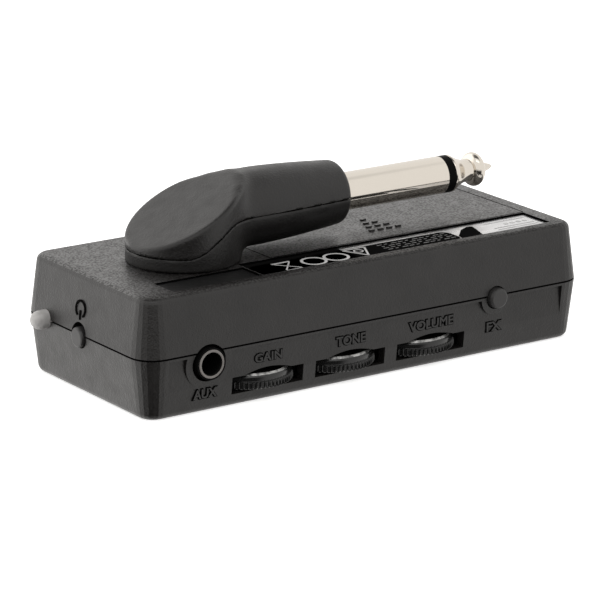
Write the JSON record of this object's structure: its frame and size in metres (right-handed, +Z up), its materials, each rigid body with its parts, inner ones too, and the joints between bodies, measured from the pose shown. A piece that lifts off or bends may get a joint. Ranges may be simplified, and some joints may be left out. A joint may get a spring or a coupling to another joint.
{
  "type": "plug-in headphone guitar amplifier",
  "caption": "Pocket guitar amplifier that drives headphones: flat case with edge thumbwheels, battery hatch and a swivelling quarter-inch plug folded across its back.",
  "frame": {"origin": "centre of the flat face that the case rests on, which is its grille face", "axes": "+X along the case from the lamp end to the phones end, -Y is the control side, +Z up from the resting face towards the plug arm"},
  "size_m": [0.09, 0.0383, 0.0332],
  "materials": {
    "case_plastic": "moulded ABS with a fine spark-eroded texture",
    "arm_plastic": "fine satin texture",
    "grille_plastic": "moulded grille bars",
    "wheel_plastic": "knurled rim, polished top",
    "black_gloss": "smooth moulded",
    "nickel": "polished nickel plating",
    "steel": "plated",
    "foil_label": "printed foil",
    "black_label": "satin film",
    "frosted_lens": "frosted translucent",
    "led_body": "clear tinted epoxy",
    "circuit_board": "solder mask",
    "chip_plastic": "moulded epoxy",
    "capacitor_sleeve": "shrink sleeve",
    "cell_jacket": "printed film"
  },
  "bodies": {
    "root": {"front_shell": "case_plastic", "grille_panel": "grille_plastic", "back_shell": "case_plastic", "rating_label": "foil_label", "blank_label": "black_label", "gain_pot": "steel", "tone_pot": "steel", "volume_pot": "steel", "power_switch": "steel", "fx_switch": "steel", "led_lens": "frosted_lens", "status_led": "led_body", "aux_jack": "black_gloss", "phones_jack": "black_gloss", "main_board": "circuit_board", "amp_chips": "chip_plastic", "capacitors": "capacitor_sleeve", "battery_cell_near": "cell_jacket", "battery_cell_far": "cell_jacket", "battery_springs": "steel", "battery_terminals": "nickel", "battery_bridge": "nickel", "case_screws": "steel", "board_screws": "steel"},
    "plug_arm": {"turret_base": "arm_plastic", "turret_cap": "arm_plastic", "swivel_retainer": "black_gloss", "swivel_washer": "steel", "swivel_screws": "steel", "plug_sleeve": "nickel", "plug_insulator": "black_gloss", "plug_tip": "nickel"},
    "gain_wheel": {"gain_wheel": "wheel_plastic"},
    "tone_wheel": {"tone_wheel": "wheel_plastic"},
    "volume_wheel": {"volume_wheel": "wheel_plastic"},
    "power_button": {"power_button": "black_gloss"},
    "fx_button": {"fx_button": "black_gloss"},
    "battery_cover": {"battery_cover": "case_plastic"}
  },
  "joints": [
    {"name": "plug_swivel", "type": "hinge", "parent": "root", "child": "plug_arm", "pos_m": [-0.0243, 0, 0.0185], "axis": [0, 0, 1], "range_deg": [0, 180]},
    {"name": "gain_turn", "type": "hinge", "parent": "root", "child": "gain_wheel", "pos_m": [-0.01995, -0.01145, 0.0035], "axis": [0, 0, 1], "range_deg": [-140, 140]},
    {"name": "tone_turn", "type": "hinge", "parent": "root", "child": "tone_wheel", "pos_m": [-0.00385, -0.01145, 0.0035], "axis": [0, 0, 1], "range_deg": [-140, 140]},
    {"name": "volume_turn", "type": "hinge", "parent": "root", "child": "volume_wheel", "pos_m": [0.01225, -0.01145, 0.0035], "axis": [0, 0, 1], "range_deg": [-140, 140]},
    {"name": "power_press", "type": "slide", "parent": "root", "child": "power_button", "axis": [1, 0, 0], "range_m": [0, 0.0005], "stiffness_N_per_m": 600, "springref_m": -0.0005},
    {"name": "fx_press", "type": "slide", "parent": "root", "child": "fx_button", "axis": [0, 1, 0], "range_m": [0, 0.0005], "stiffness_N_per_m": 600, "springref_m": -0.0005},
    {"name": "cover_slide", "type": "slide", "parent": "root", "child": "battery_cover", "axis": [0, 1, 0], "range_m": [0, 0.018]}
  ]
}
